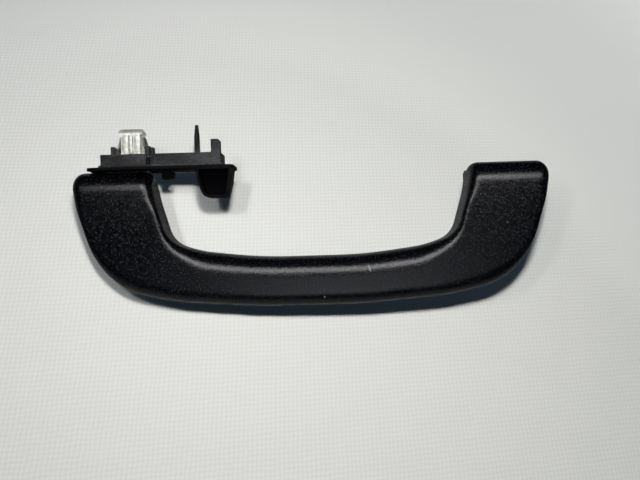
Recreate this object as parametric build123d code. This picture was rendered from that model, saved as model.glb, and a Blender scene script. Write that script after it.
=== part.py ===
from build123d import *
import os

os.makedirs("parts", exist_ok=True)

# Roof grab handle with two hinged brackets. Millimetres. +X runs along the handle, +Z points at
# the roof, +Y away from the cabin side. The origin is the centre of the left bracket's seating
# face. The left bracket is upright with the grip pulled down. The right bracket is folded flat
# behind its arm, where its spring holds it.

# Where the brackets sit
mount_spacing = 178.6        # between the two spring clips
seat_to_clip = 15.5          # centre of the left seating face to its clip

# Grip outline, seen from the front
arm_outboard = 28.9          # clip line to the arm's outer face
arm_inboard = 10.6           # clip line to the arm's inner face
bar_drop = 58.7              # hinge axis to the bar's underside, in the middle
bar_height = 24.5            # height of the bar in the middle
arm_radius = 10.4            # the arm's end is round about the hinge axis
front_crown = 1.0            # how far the front face leans back at the bar
back_taper = 2.2             # how far the back face leans forward at the bar
edge_round = 5.0             # rounded edges of the grip
grip_wall = 2.4
parting_y = 2.0              # parting plane of front shell and back cover
cover_top_drop = 9.0         # hinge axis to the top edge of the back cover

# Hinge
pin_radius = 1.5
running_gap = 0.05           # radial clearance of a bore that turns on the pin
swing_gap = 0.3              # clearance where the grip passes its bracket
lug_radius = 5.0
lug_thickness = 4.0
outer_lug = -14.0            # outboard face of the outer lug, from the clip line
inner_lug = 7.9              # inboard face of the inner lug, from the clip line
lug_web_front = -0.5         # front face of the lugs' webs
rib_thickness = 3.0          # inner wall of the arm that carries the pin's outer end
bush_wall = 0.9
pin_reach = 0.7              # the pin ends this far past the arm's inner face line

# Bracket core
core_height = 5.4            # seating face down to the flange
core_front = -7.0
core_back = 8.0
core_outboard = 14.0         # clip line to the core's outer end
core_inboard = 45.0          # clip line to the left core's inner end
right_core_inboard = 8.2     # the plain right core ends at the inner lug
deck = 1.6
core_wall = 1.8
seat_groove = 0.5            # groove between the clip's field and the seating face
seat_groove_depth = 0.4
flange = 1.0
flange_lip = 0.8
wall_slot_x = 8.5            # upright slot in the front wall
wall_slot_width = 1.9
tab_height = 3.9             # guards beside the clip
tab_front = -6.2
tab_back = -2.9
tab_gap = 2.5                # clip body to the left guard's upright
tab_width = 1.8
right_tab_gap = 3.0
right_tab_width = 2.3
small_tab_gap = 0.5
small_tab_width = 1.4
small_tab_step = 0.7         # how much lower the small guard stands
bow_step = 0.3
bow_depth = 1.6
bow_radius = 7.0
spike_inset = 12.5           # core's inner end to the locating spike
spike_height = 14.7
spike_base = 1.4
spike_tip = 0.85
latch_inset = 4.6            # core's inner end to the hooked block
latch_width = 4.4
latch_front = -6.4
latch_back = -1.6
latch_foot = 1.3
latch_undercut = 2.1         # underside of the hooked head
latch_recess = 0.8
latch_height = 6.5
latch_chamfer = 0.8
inner_ribs = 3               # cross ribs inside the left core

# Trim plate and coat hook
plate = 1.4
plate_front = -8.5
plate_back = 9.6
plate_outboard = 21.2
plate_overhang = 6.3         # core's inner end to the plate's
right_plate_outboard = 18.0
right_plate_overhang = 0.4
plate_corner = 3.0
hook_inset = 0.7             # plate's inner end to the hook
hook_width = 17.8
hook_foot_width = 11.5
hook_foot_inset = 2.1        # how far the hook's inner side draws in towards its foot
hook_bulge = 8.5             # the hook's outer side is steep down to here
hook_draft = 1.2
hook_drop = 14.7             # plate underside to the hook's tip
hook_back = 5.0
hook_wall = 1.2
hook_slope = 9.0             # the hook's back slopes over this much of its height
hook_slope_depth = 6.0
stop_boss_gap = 3.6          # arm's inner face line to the boss
stop_boss_width = 5.4
stop_boss_drop = 4.0
stop_boss_depth = 6.5

# Spring clip
sheet = 0.8
clip_width = 9.6
clip_depth = 6.8
clip_rise = 12.9             # top of the clip over the seating face
ear_width = 12.2
ear_drop = 2.9
wing_top = 9.0
wing_foot = 2.1
wing_edge = 0.4              # how far the wings stand out at their top
wing_front_gap = 1.2         # front leg's face to the wings' front edge
wing_flare = 1.7
wing_gap = 0.3               # wings to the groove in the deck
bead_radius = 1.1
bead_length = 7.6
bead_foot = 0.6
bead_sink = 0.5

# Damper on the left hinge, spring on the right one
damper_radius = 4.5
damper_wall = 1.1
damper_cap = 1.6
seal_width = 1.1
seal_gap = 0.1
rotor_gap = 0.3
wire = 1.1
coil_inner = 2.3
coil_turns = 7
coil_side_gap = 1.5          # between the coil's end and the lug
leg_tip_gap = 0.1            # the core leg's tip to the core
leg_reach = 6.9              # the spring's front leg, tangent to the coil

# Screws of the back cover
screw_radius = 1.2
screw_head = 2.4
head_gap = 0.2
head_slot = 0.8
boss_radius = 3.0
screw_bar_x = 42.0           # from the middle of the handle
screw_arm_x = 90.0
screw_bar_drop = 46.4
screw_arm_drop = 31.0
screw_tip_y = -6.0
screw_seat_y = 6.0           # face under the heads
screw_head_height = 1.8

# Derived places
half_spacing = mount_spacing / 2
pivot_drop = core_height + flange + plate + swing_gap + arm_radius
grip_half = half_spacing + arm_outboard
middle_x = half_spacing - seat_to_clip
flange_foot = -core_height - flange
plate_foot = flange_foot - plate
plate_inboard = core_inboard + plate_overhang
right_plate_inboard = right_core_inboard + right_plate_overhang
spike_x = core_inboard - spike_inset
latch_x = core_inboard - latch_inset
stop_boss_x = arm_inboard + stop_boss_gap
lug_web_back = lug_radius
pocket_left = outer_lug - swing_gap
pocket_right = inner_lug + swing_gap
bay_left = outer_lug + lug_thickness
bay_right = inner_lug - lug_thickness
pin_bore = pin_radius + running_gap
bush_radius = pin_bore + bush_wall
clip_half = clip_width / 2
clip_face = clip_depth / 2


def box(x0, x1, y0, y1, z0, z1):
    """A box given by its six sides."""
    return Pos((x0 + x1) / 2, (y0 + y1) / 2, (z0 + z1) / 2) * Box(x1 - x0, y1 - y0, z1 - z0)


def front_slab(face, y0, y1):
    """A face drawn in X and Z, made solid from y0 back to y1."""
    return extrude(Plane.XZ.offset(-y1) * face, amount=y1 - y0)


def side_slab(face, x0, x1):
    """A face drawn in Y and Z, made solid from x0 to x1."""
    return extrude(Plane.YZ.offset(x0) * face, amount=x1 - x0)


def flat_slab(face, z0, z1):
    """A face drawn in X and Y, made solid from z0 up to z1."""
    return extrude(Plane.XY.offset(z0) * face, amount=z1 - z0)


def rod(radius, x0, x1):
    """A round bar along the hinge axis."""
    return Pos((x0 + x1) / 2, 0, -pivot_drop) * Rot(0, 90, 0) * Cylinder(radius, x1 - x0)


def on_left(shape):
    """A shape drawn from a clip line, set at the left clip."""
    return Pos(-seat_to_clip, 0, 0) * shape


def on_right(shape):
    """A shape drawn from a clip line, mirrored to the right clip."""
    return Pos(mount_spacing - seat_to_clip, 0, 0) * mirror(shape, about=Plane.YZ)


def folded_right(shape):
    """The right bracket's shapes, swung back about the hinge axis behind the arm."""
    about = Pos(0, 0, -pivot_drop)
    return on_right(about * Rot(-90, 0, 0) * about.inverse() * shape)


def mirrored_path(corners, radii):
    """A left path of straight runs and round corners, and its mirror image."""
    path = corners + [(-x, z) for x, z in reversed(corners)]
    return FilletPolyline(*path, radius=radii + radii[::-1])


def grip_outline():
    """Front outline of the grip about its middle and the hinge axis, open past the arms' ends."""
    over = arm_radius + 2
    inner = half_spacing - arm_inboard
    bar_top = bar_height - bar_drop
    outside = [(-grip_half, over), (-grip_half + 0.3, -0.8), (-grip_half + 9.0, -28.9)]
    outside += [(-grip_half + x, z - bar_drop) for x, z in ((19.7, 10.2), (49.9, 3.2), (92.2, 0))]
    inside = [(-inner, over), (-inner, 1.3)]
    inside += [(-inner + x, z + bar_top) for x, z in ((7.8, 9), (21.2, 3.9), (52.7, 0))]
    lower = mirrored_path(outside, [57, 68, 33, 125, 244])
    upper = mirrored_path(inside, [62, 13.5, 58, 228])
    return make_face(Curve() + [lower, upper, Line(lower @ 0, upper @ 0), Line(lower @ 1, upper @ 1)])


def grip_section(radius):
    """Side outline of the grip: round about the hinge axis, then two faces that close in."""
    foot = -bar_drop - 3
    over = ThreePointArc((-radius, 0), (0, radius), (radius, 0))
    front = TangentArc((-radius, 0), (-radius + front_crown, foot), tangent=(0, -1))
    back = TangentArc((radius, 0), (radius - back_taper, foot), tangent=(0, -1))
    return make_face(Curve() + [over, front, back, Line(front @ 1, back @ 1)])


def wrap_edges(body):
    """The edges between the outline's sides and the front, the round ends and the back."""
    def crosses(edge):
        way = edge.tangent_at(0.5)
        level = abs(way.X) > 0.99 and abs(edge.center().Z) < 0.01
        return edge.geom_type == GeomType.LINE and (abs(way.Y) > 0.9 or level)
    return [edge for edge in body.edges() if not crosses(edge)]


def grip_body(inset=0.0, rounding=0.0):
    """The grip as a full body or, with an inset, the hollow inside it."""
    face = grip_outline()
    if inset:
        face = offset(face, amount=-inset)
    body = front_slab(face, -2 * arm_radius, 2 * arm_radius)
    body = body & side_slab(grip_section(arm_radius - inset), -2 * grip_half, 2 * grip_half)
    if rounding:
        body = fillet(wrap_edges(body), rounding)
    return Pos(middle_x, 0, -pivot_drop) * body


def cover_zone():
    """What lies behind the parting plane and under the cover's top edge."""
    top = -pivot_drop - cover_top_drop
    return box(middle_x - 2 * grip_half, middle_x + 2 * grip_half, parting_y, parting_y + 2 * arm_radius,
               top - 2 * bar_drop, top)


def screw_places():
    """Middle of each cover screw, as X and Z."""
    for x, drop in ((screw_bar_x, screw_bar_drop), (screw_arm_x, screw_arm_drop)):
        for side in (-1, 1):
            yield middle_x + side * x, -pivot_drop - drop


def screw_column(x, z, radius, y0, y1):
    """A round bar along Y at a screw."""
    return Pos(x, (y0 + y1) / 2, z) * Rot(90, 0, 0) * Cylinder(radius, y1 - y0)


def arm_pocket(place):
    """The opening in an arm's end that its bracket swings through."""
    front = lug_web_front - swing_gap
    foot = -pivot_drop - lug_web_back - swing_gap
    return place(box(pocket_left, pocket_right, front, 2 * arm_radius, foot, 0))


def arm_ribs(place, hollow):
    """Walls inside an arm beside its pocket, which carry the pin."""
    foot = -pivot_drop - cover_top_drop
    depth = (-2 * arm_radius, 2 * arm_radius)
    outer = box(pocket_left - rib_thickness, pocket_left, *depth, foot, 0)
    inner = box(pocket_right, 2 * arm_inboard, *depth, foot, 0)
    return (place(outer) & hollow) + (place(inner) & hollow)


def pin(place, end=0.0):
    """The steel pin, from the arm's inner wall to its inboard face."""
    return place(rod(pin_radius, pocket_left - rib_thickness, arm_inboard + pin_reach + end))


def grip_shells():
    """The grip's front shell and its back cover."""
    hollow = grip_body(inset=grip_wall)
    shell = grip_body(rounding=edge_round) - hollow
    for place in (on_left, on_right):
        shell = shell - arm_pocket(place)
    cover = shell & cover_zone()
    front = shell - cover_zone()
    for place in (on_left, on_right):
        front = front + arm_ribs(place, hollow)
        front = front - pin(place, 2)
    for x, z in screw_places():
        front = front + (screw_column(x, z, boss_radius, -arm_radius, parting_y) & hollow)
        front = front - screw_column(x, z, screw_radius, screw_tip_y, parting_y)
        cover = cover + (screw_column(x, z, boss_radius + 1, parting_y, arm_radius) & hollow)
        cover = cover - screw_column(x, z, screw_radius, parting_y, arm_radius)
        cover = cover - screw_column(x, z, screw_head + head_gap, screw_seat_y, 2 * arm_radius)
    return front, cover


def cover_screws():
    """Four screws from the back."""
    screws = Part()
    for x, z in screw_places():
        shank = screw_column(x, z, screw_radius, screw_tip_y, screw_seat_y)
        head = screw_column(x, z, screw_head, screw_seat_y, screw_seat_y + screw_head_height)
        top = screw_seat_y + screw_head_height
        half = head_slot / 2
        slot = box(x - screw_head, x + screw_head, top - head_slot, top + 1, z - half, z + half)
        screws = screws + (shank + head - slot)
    return screws


def lug(x0):
    """One hinge lug: a round eye on the pin and a web up to the core."""
    thick = (x0, x0 + lug_thickness)
    web = box(*thick, lug_web_front, lug_web_back, -pivot_drop, flange_foot)
    return rod(lug_radius, *thick) + web - rod(bush_radius, *thick)


def lug_bushes():
    """Plain sleeves pressed into the two lugs of a bracket, turning on the pin."""
    pair = Part()
    for x0 in (outer_lug, inner_lug - lug_thickness):
        pair = pair + (rod(bush_radius, x0, x0 + lug_thickness) - rod(pin_bore, x0, x0 + lug_thickness))
    return pair


def clip_seat():
    """The block under the clip, and the pocket its feet stand in."""
    half = clip_half + core_wall
    seat = box(-half, half, core_front, core_back, flange_foot, 0)
    return seat - box(-clip_half, clip_half, -clip_face, clip_face, -core_height, 1)


def bracket_core(inboard):
    """The moulded core: deck, walls, foot flange, clip seat and hinge lugs."""
    body = box(-core_outboard, inboard, core_front, core_back, -core_height, 0)
    lip = box(-core_outboard - flange_lip, inboard + flange_lip, core_front - flange_lip,
              core_back + flange_lip, flange_foot, -core_height)
    inside = box(-core_outboard + core_wall, inboard - core_wall, core_front + core_wall,
                 core_back - core_wall, flange_foot - 1, -deck)
    core = body + lip - inside
    window = box(-clip_half, clip_half, -clip_face, clip_face, -core_height, 1)
    floor = box(outer_lug, inner_lug, lug_web_front, lug_web_back, flange_foot, -deck)
    core = core - window + clip_seat() + (floor - window)
    return core + lug(outer_lug) + lug(inner_lug - lug_thickness)


def deck_groove(side):
    """A shallow groove across the deck beside the clip, where its wings end."""
    x = side * (clip_half + wing_flare + wing_edge + wing_gap + seat_groove / 2)
    return box(x - seat_groove / 2, x + seat_groove / 2, core_front, core_back, -seat_groove_depth, 0)


def clip_tabs():
    """Small guards that stand beside the clip."""
    depth = (tab_front, tab_back)
    left = -clip_half - tab_gap
    guards = box(left - tab_width, left, *depth, 0, tab_height)
    shoulder = tab_height - bow_step
    bow = Curve() + [Line((left, 0), (left, shoulder)), Line((left, 0), (-clip_half, 0)),
                     RadiusArc((left, shoulder), (-clip_half, 0), bow_radius)]
    guards = guards + front_slab(make_face(bow), tab_back - bow_depth, tab_back)
    right = clip_half + right_tab_gap
    guards = guards + box(right, right + right_tab_width, *depth, 0, tab_height)
    small = right + right_tab_width + small_tab_gap
    return guards + box(small, small + small_tab_width, *depth, 0, tab_height - small_tab_step)


def locating_spike():
    """The slim four-sided spike that finds its hole first."""
    def ring(z, reach):
        side = reach * 2 ** 0.5
        return Pos(spike_x, 0, z) * Rot(0, 0, 45) * Rectangle(side, side)
    rings = [ring(0, spike_base), ring(spike_height * 0.6, spike_base), ring(spike_height, spike_tip)]
    return loft(rings, ruled=True)


def latch_block():
    """The hooked block at the core's inner end: a foot, a recessed neck and a head."""
    right = latch_x + latch_width
    foot = box(latch_x, right, latch_front, latch_back, 0, latch_foot)
    neck = box(latch_x, right, latch_front + latch_recess, latch_back, latch_foot, latch_undercut)
    head = Polyline((latch_x, latch_undercut), (right, latch_undercut), (right, latch_height - latch_chamfer),
                    (right - latch_chamfer, latch_height), (latch_x, latch_height), close=True)
    return foot + neck + front_slab(make_face(head), latch_front, latch_back)


def left_core():
    """The left core with all that stands on its seating face."""
    core = bracket_core(core_inboard)
    first = wall_slot_x + wall_slot_width
    for k in range(inner_ribs):
        x = first + (core_inboard - first) * (k + 0.5) / inner_ribs
        core = core + box(x, x + core_wall, core_front, core_back, flange_foot, -deck)
    core = core - box(wall_slot_x, wall_slot_x + wall_slot_width, core_front - 2, core_front + core_wall,
                      -core_height, 1)
    core = core - deck_groove(1)
    return core + clip_tabs() + locating_spike() + latch_block()


def right_core():
    """The plain right core, with its seating face outboard of the clip."""
    return bracket_core(right_core_inboard) - deck_groove(-1)


def trim_plate(outboard, inboard):
    """The flat plate under a core, with a window for the lugs."""
    face = make_face(Polyline((-outboard, plate_front), (inboard, plate_front), (inboard, plate_back),
                              (-outboard, plate_back), close=True))
    body = flat_slab(fillet(face.vertices(), plate_corner), plate_foot, flange_foot)
    return body - box(outer_lug, inner_lug, lug_web_front, lug_web_back, plate_foot - 1, flange_foot + 1)


def coat_hook():
    """The hollow hook under the plate, open to the front."""
    tip = plate_foot - hook_drop
    right = plate_inboard - hook_inset
    left = right - hook_width
    foot_right = right - hook_foot_inset
    root = plate_foot + plate / 3
    rim = FilletPolyline((left, root), (left + hook_draft, plate_foot - hook_bulge),
                         (foot_right - hook_foot_width, tip), (foot_right, tip), (right, root),
                         radius=[20, 4, 2])
    face = make_face(Curve() + [rim, Line(rim @ 0, rim @ 1)])
    shell = front_slab(face, plate_front, hook_back)
    hollow = front_slab(offset(face, amount=-hook_wall), plate_front - 1, hook_back - hook_wall)

    def back_slope(inset):
        low = (hook_back + 1, tip - 1)
        high = (hook_back + 1, tip + hook_slope + 2 * inset)
        toe = (hook_back - hook_slope_depth - inset, tip - 1)
        return side_slab(make_face(Polyline(high, low, toe, close=True)), left - 1, right + 1)
    return shell - back_slope(0) - (hollow - back_slope(hook_wall))


def hook_plate():
    """The left trim plate with its coat hook and stop boss, one moulding."""
    boss = box(stop_boss_x, stop_boss_x + stop_boss_width, 0, stop_boss_depth, plate_foot - stop_boss_drop,
               plate_foot)
    return trim_plate(plate_outboard, plate_inboard) + coat_hook() + boss


def mirrored_face(right_side):
    """A face with the given right side and its mirror image, both from the foot up."""
    return make_face(Polyline(*right_side, *[(-x, z) for x, z in reversed(right_side)], close=True))


def spring_clip():
    """Bent sheet: two legs joined over the top, with wings that flare to grip the panel."""
    bend = clip_rise - clip_face
    foot = -core_height

    def arch(radius, low):
        over = ThreePointArc((-radius, bend), (0, bend + radius), (radius, bend))
        legs = Polyline((radius, bend), (radius, low), (-radius, low), (-radius, bend))
        return make_face(Curve() + [over, legs])
    strip = side_slab(arch(clip_face, foot), -ear_width, ear_width)
    strip = strip - side_slab(arch(clip_face - sheet, foot - 1), -ear_width, ear_width)
    ears = clip_rise - ear_drop
    neck = ears - wing_edge
    wing = clip_half + wing_flare + wing_edge
    cap = [(clip_half, neck), (ear_width / 2, ears), (clip_half + wing_edge / 2, clip_rise)]
    front = mirrored_face([(clip_half, foot), *cap])
    back = mirrored_face([(clip_half, foot), (clip_half, wing_foot), (wing, wing_foot),
                          (clip_half + wing_edge, wing_top), *cap])
    clip = strip & (front_slab(front, -clip_depth, 0) + front_slab(back, 0, clip_depth))
    high = clip_half + wing_edge
    for side in (-1, 1):
        flank = Polyline((side * (high - sheet), wing_top), (side * high, wing_top), (side * wing, wing_foot),
                         (side * (wing - sheet), wing_foot), close=True)
        clip = clip + front_slab(make_face(flank), -clip_face + wing_front_gap, clip_face)
    bead = Pos(0, -clip_face + bead_sink, bead_foot + bead_length / 2) * Cylinder(bead_radius, bead_length)
    behind = box(-clip_half, clip_half, -clip_face + sheet / 2, clip_face, foot, clip_rise)
    return clip + (bead - behind)


def damper_housing():
    """The damper's cup between the left lugs, with a foot up to the core."""
    cup = rod(damper_radius, bay_left, bay_right) - rod(damper_radius - damper_wall, bay_left + damper_cap,
                                                        bay_right + 1)
    foot = box(bay_left, bay_right, lug_web_front, lug_web_back, -pivot_drop, flange_foot)
    foot = foot - rod(damper_radius - damper_wall / 2, bay_left - 1, bay_right + 1)
    return cup + foot - rod(pin_bore, bay_left - 1, bay_right)


def damper_lid():
    """The disc that closes the cup."""
    disc = rod(damper_radius - damper_wall, bay_right - damper_cap, bay_right)
    return disc - rod(pin_bore, bay_right - damper_cap, bay_right)


def damper_seal():
    """The ring that keeps the grease in, held in the cup against the lid."""
    ends = (bay_right - damper_cap - seal_width, bay_right - damper_cap)
    return rod(damper_radius - damper_wall, *ends) - rod(pin_radius + seal_gap, *ends)


def damper_rotor():
    """The vaned rotor, fixed on the pin inside the cup."""
    ends = (bay_left + damper_cap + rotor_gap, bay_right - damper_cap - seal_width - rotor_gap)
    inner = damper_radius - damper_wall - rotor_gap
    rotor = rod(inner - 0.8, *ends)
    for turn in (0, 120, 240):
        vane = box(*ends, -0.4, 0.4, 0, inner - 0.05)
        rotor = rotor + Pos(0, 0, -pivot_drop) * Rot(turn, 0, 0) * vane
    return rotor - rod(pin_radius, *ends)


def return_spring():
    """The torsion coil round the right pin, one leg up to the core and one to the grip's front."""
    mean = coil_inner + wire / 2
    start = bay_left + wire / 2 + coil_side_gap
    length = bay_right - bay_left - wire - 2 * coil_side_gap
    coil = Helix(pitch=length / (coil_turns + 0.25), height=length, radius=mean)
    front_leg = Line(coil @ 0 - (coil % 0) * leg_reach, coil @ 0)
    core_leg = Line(coil @ 1, coil @ 1 + (coil % 1) * (pivot_drop + flange_foot - leg_tip_gap))
    path = Wire([*front_leg.edges(), *coil.edges(), *core_leg.edges()])
    spring = sweep(Plane(origin=path @ 0, z_dir=path % 0) * Circle(wire / 2), path=path)
    axis = Plane(origin=(start, 0, -pivot_drop), x_dir=(0, 1, 0), z_dir=(1, 0, 0))
    return axis.location * Rot(0, 0, -90) * spring


def write(name, shape):
    export_step(shape, f"parts/{name}.step")


def main():
    front_shell, back_cover = grip_shells()
    write("grip_front_shell", front_shell)
    write("grip_back_cover", back_cover)
    write("cover_screws", cover_screws())
    write("left_lug_bushes", on_left(lug_bushes()))
    write("right_lug_bushes", folded_right(lug_bushes()))
    write("left_hinge_pin", pin(on_left))
    write("right_hinge_pin", pin(on_right))
    write("left_bracket_core", on_left(left_core()))
    write("left_trim_plate", on_left(hook_plate()))
    write("left_spring_clip", on_left(spring_clip()))
    write("damper_housing", on_left(damper_housing()))
    write("damper_lid", on_left(damper_lid()))
    write("damper_seal", on_left(damper_seal()))
    write("damper_rotor", on_left(damper_rotor()))
    write("right_bracket_core", folded_right(right_core()))
    write("right_trim_plate", folded_right(trim_plate(right_plate_outboard, right_plate_inboard)))
    write("right_spring_clip", folded_right(spring_clip()))
    write("return_spring", folded_right(return_spring()))


main()
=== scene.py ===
import math

import bmesh
import bpy
import numpy as np
from mathutils import Matrix, Vector


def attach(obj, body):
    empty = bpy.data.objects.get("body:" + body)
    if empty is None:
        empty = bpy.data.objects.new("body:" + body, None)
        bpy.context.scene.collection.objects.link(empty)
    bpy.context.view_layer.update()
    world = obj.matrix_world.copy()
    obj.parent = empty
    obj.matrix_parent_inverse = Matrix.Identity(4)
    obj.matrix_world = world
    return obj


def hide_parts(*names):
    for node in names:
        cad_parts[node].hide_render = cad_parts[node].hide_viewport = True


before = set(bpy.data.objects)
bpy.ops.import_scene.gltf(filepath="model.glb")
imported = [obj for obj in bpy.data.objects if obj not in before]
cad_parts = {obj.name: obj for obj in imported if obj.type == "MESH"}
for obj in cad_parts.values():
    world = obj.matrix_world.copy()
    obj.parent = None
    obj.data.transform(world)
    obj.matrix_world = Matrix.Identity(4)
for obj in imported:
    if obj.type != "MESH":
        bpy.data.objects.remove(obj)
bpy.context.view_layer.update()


# The camera looks down on the table that the handle lies on, square to its front face. It is 300 mm
# away, a little below the handle's middle, and turned so that the handle climbs slightly to the right.
def placed(name, data):
    """A new object in the scene."""
    made = bpy.data.objects.new(name, data)
    bpy.context.scene.collection.objects.link(made)
    return made


camera_place = Vector((0.0775, -0.300, -0.04495))
camera_roll = math.radians(1.65)
camera_data = bpy.data.cameras.new("camera")
camera_data.lens = 33.47
camera_data.sensor_width = 36.0
camera_data.clip_start = 0.01
camera = placed("camera", camera_data)
camera.matrix_world = Matrix((
    (math.cos(camera_roll), math.sin(camera_roll), 0, camera_place.x),
    (0, 0, -1, camera_place.y),
    (-math.sin(camera_roll), math.cos(camera_roll), 0, camera_place.z),
    (0, 0, 0, 1)))
bpy.context.scene.camera = camera
bpy.context.scene.view_settings.view_transform = "Standard"


# The table is a pale sheet of fine-grained vinyl behind the handle, far enough back for the grip to
# fold up in front of it. It is nearer at the left, as the handle's right end stands higher off it.
def colour(code):
    """A linear colour from sRGB hex."""
    parts = [int(code[k:k + 2], 16) / 255 for k in (1, 3, 5)]
    return tuple(c / 12.92 if c < 0.04045 else ((c + 0.055) / 1.055) ** 2.4 for c in parts) + (1.0,)


def add(tree, kind, inputs=None, **settings):
    """One node with its settings. An input is a value, a socket, or a node, which gives its first output."""
    made = tree.nodes.new(kind)
    for name, value in settings.items():
        setattr(made, name, value)
    for key, value in (inputs or {}).items():
        if isinstance(value, bpy.types.Node):
            value = value.outputs[0]
        if isinstance(value, bpy.types.NodeSocket):
            tree.links.new(value, made.inputs[key])
        else:
            made.inputs[key].default_value = value
    return made


def new_material(name):
    """An empty node material and its tree."""
    material = bpy.data.materials.new(name)
    material.use_nodes = True
    material.node_tree.nodes.clear()
    return material, material.node_tree


def smooth_up_to(mesh, angle):
    """Smooth shading, but for edges sharper than an angle in degrees."""
    mesh.shade_smooth()
    mesh.set_sharp_from_angle(angle=math.radians(angle))


def new_piece(name, verts, faces, angle=40):
    """A mesh object at the origin, smooth up to an angle."""
    mesh = bpy.data.meshes.new(name)
    mesh.from_pydata([tuple(v) for v in verts], [], [tuple(f) for f in faces])
    mesh.validate()
    smooth_up_to(mesh, angle)
    return placed(name, mesh)


behind_x, behind_y, behind_z = -0.02, 0.050, -0.065    # a point of the table, behind the left arm
lean_right, lean_up = 0.20, 0.50                       # how fast the table leaves the handle's plane
table_left, table_right, table_low, table_high = -0.50, 0.65, -0.45, 0.45
table = new_piece("table", [
    (x, behind_y + (x - behind_x) * lean_right + (z - behind_z) * lean_up, z)
    for x, z in ((table_left, table_low), (table_right, table_low), (table_right, table_high),
                 (table_left, table_high))], [(0, 1, 2, 3)])
vinyl, tree = new_material("pale_embossed_vinyl")
place = add(tree, "ShaderNodeTexCoord").outputs["Object"]
# The emboss is a weave of about 2.4 mm (a wave's scale is a tenth of pi over that) with a 1 mm tooth in it.
# In a colour Mix node, inputs 6 and 7 are the two colours and output 2 is their blend
weave = add(tree, "ShaderNodeTexNoise", {"Vector": place, "Scale": 900.0, "Detail": 1.0})
for direction in "XZ":
    bands = add(tree, "ShaderNodeTexWave", {
        "Vector": place, "Scale": 131.0, "Distortion": 1.2, "Detail": 0.0}, bands_direction=direction)
    weave = add(tree, "ShaderNodeMath", {0: bands.outputs["Fac"], 1: weave}, operation="ADD")
tone = add(tree, "ShaderNodeMapRange", {"Value": weave, "From Min": 0.6, "From Max": 2.4})
paint = add(tree, "ShaderNodeMix", {"Factor": tone, 6: colour("#e5e5e0"), 7: colour("#efefea")},
            data_type="RGBA")
# The sheet is a little paler towards its upper right, which evens out the lamps' falling off there. Its
# tone and its haze follow these two, which are 0 at the middle of the view and 1 near its side and its top
apart = add(tree, "ShaderNodeSeparateXYZ", {0: place})
to_side = add(tree, "ShaderNodeMapRange", {
    "Value": apart.outputs["X"], "From Min": 0.0775, "From Max": 0.2685}, clamp=False)
to_top = add(tree, "ShaderNodeMapRange", {
    "Value": apart.outputs["Z"], "From Min": -0.045, "From Max": 0.095}, clamp=False)


def over_sheet(tree, level, side_slope, side_bend, top_slope, top_bend):
    """A level at the middle of the view that changes smoothly over the sheet."""
    for way, slope, bend in ((to_top, top_slope, top_bend), (to_side, side_slope, side_bend)):
        gain = add(tree, "ShaderNodeMath", {0: way, 1: bend, 2: slope}, operation="MULTIPLY_ADD")
        level = add(tree, "ShaderNodeMath", {0: gain, 1: way, 2: level}, operation="MULTIPLY_ADD")
    return level


tint = over_sheet(tree, 0.85, 0.12, 0.16, 0.18, 0.10)
tint = add(tree, "ShaderNodeMath", {0: tint, 1: 1.16}, operation="MINIMUM")
glow = over_sheet(tree, -0.12, 0.085, 0.075, 0.13, 0.02)
glow = add(tree, "ShaderNodeMath", {0: glow, 1: 0.0}, operation="MAXIMUM")
# Rays other than the camera's meet a darker sheet without haze, so that it doesn't shine back on to the
# sides of the black mouldings
seen = add(tree, "ShaderNodeLightPath").outputs["Is Camera Ray"]
share = add(tree, "ShaderNodeMapRange", {"Value": seen, "To Min": 0.3, "To Max": 1.0})
shade = add(tree, "ShaderNodeMath", {0: tint, 1: share}, operation="MULTIPLY")
paper = add(tree, "ShaderNodeVectorMath", {0: paint.outputs[2], "Scale": shade}, operation="SCALE")
matt = add(tree, "ShaderNodeBsdfDiffuse", {"Color": paper, "Roughness": 0.6})
lit = add(tree, "ShaderNodeMath", {0: glow, 1: seen}, operation="MULTIPLY")
haze = add(tree, "ShaderNodeEmission", {"Color": colour("#fbfbf6"), "Strength": lit})
front_side = add(tree, "ShaderNodeAddShader", {0: matt, 1: haze})
# From behind the sheet is clear, so that the handle's back can be looked at
clear = add(tree, "ShaderNodeBsdfTransparent")
facing = add(tree, "ShaderNodeNewGeometry")
both = add(tree, "ShaderNodeMixShader", {0: facing.outputs["Backfacing"], 1: front_side, 2: clear})
add(tree, "ShaderNodeOutputMaterial", {"Surface": both})
table.data.materials.append(vinyl)


# Two small lamps near the camera light the table and give the handle its two shadows. Two wide cards,
# seen only as reflections, put the ceiling's and the window's sheen on the plastic and the metal.
def lamp(name, place, target, width, height, power, tint="#ffffff"):
    """A rectangular lamp at a place, aimed at a target."""
    data = bpy.data.lights.new(name, "AREA")
    data.shape = "RECTANGLE"
    data.size, data.size_y = width, height
    data.energy = power
    data.color = colour(tint)[:3]
    made = placed(name, data)
    way = Vector(target) - Vector(place)
    made.matrix_world = Matrix.Translation(place) @ way.to_track_quat("-Z", "Y").to_matrix().to_4x4()
    return made


middle = Vector((0.0738, 0.0, -0.045))    # about the handle's middle
key = lamp("key_lamp", (0.083, -0.305, -0.008), middle, 0.013, 0.010, 1.28)
second = lamp("side_lamp", (0.038, -0.305, -0.008), (0.010, 0.0, -0.045), 0.012, 0.012, 0.089)
second.data.spread = math.radians(84)
for small in (key, second):
    small.visible_glossy = False
ceiling = lamp("ceiling_card", middle + Vector((0.035, -0.53, 0.29)), middle, 0.60, 0.18, 2.3)
front = lamp("front_card", (0.108, -0.600, -0.325), (0.108, 0.0, -0.325), 0.32, 0.53, 0.50, "#f2f8ff")
for card in (ceiling, front):
    card.visible_diffuse = False
world = bpy.data.worlds.new("studio")
bpy.context.scene.world = world
world.use_nodes = True
world.node_tree.nodes.clear()
tree = world.node_tree
ray = add(tree, "ShaderNodeLightPath")
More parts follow.
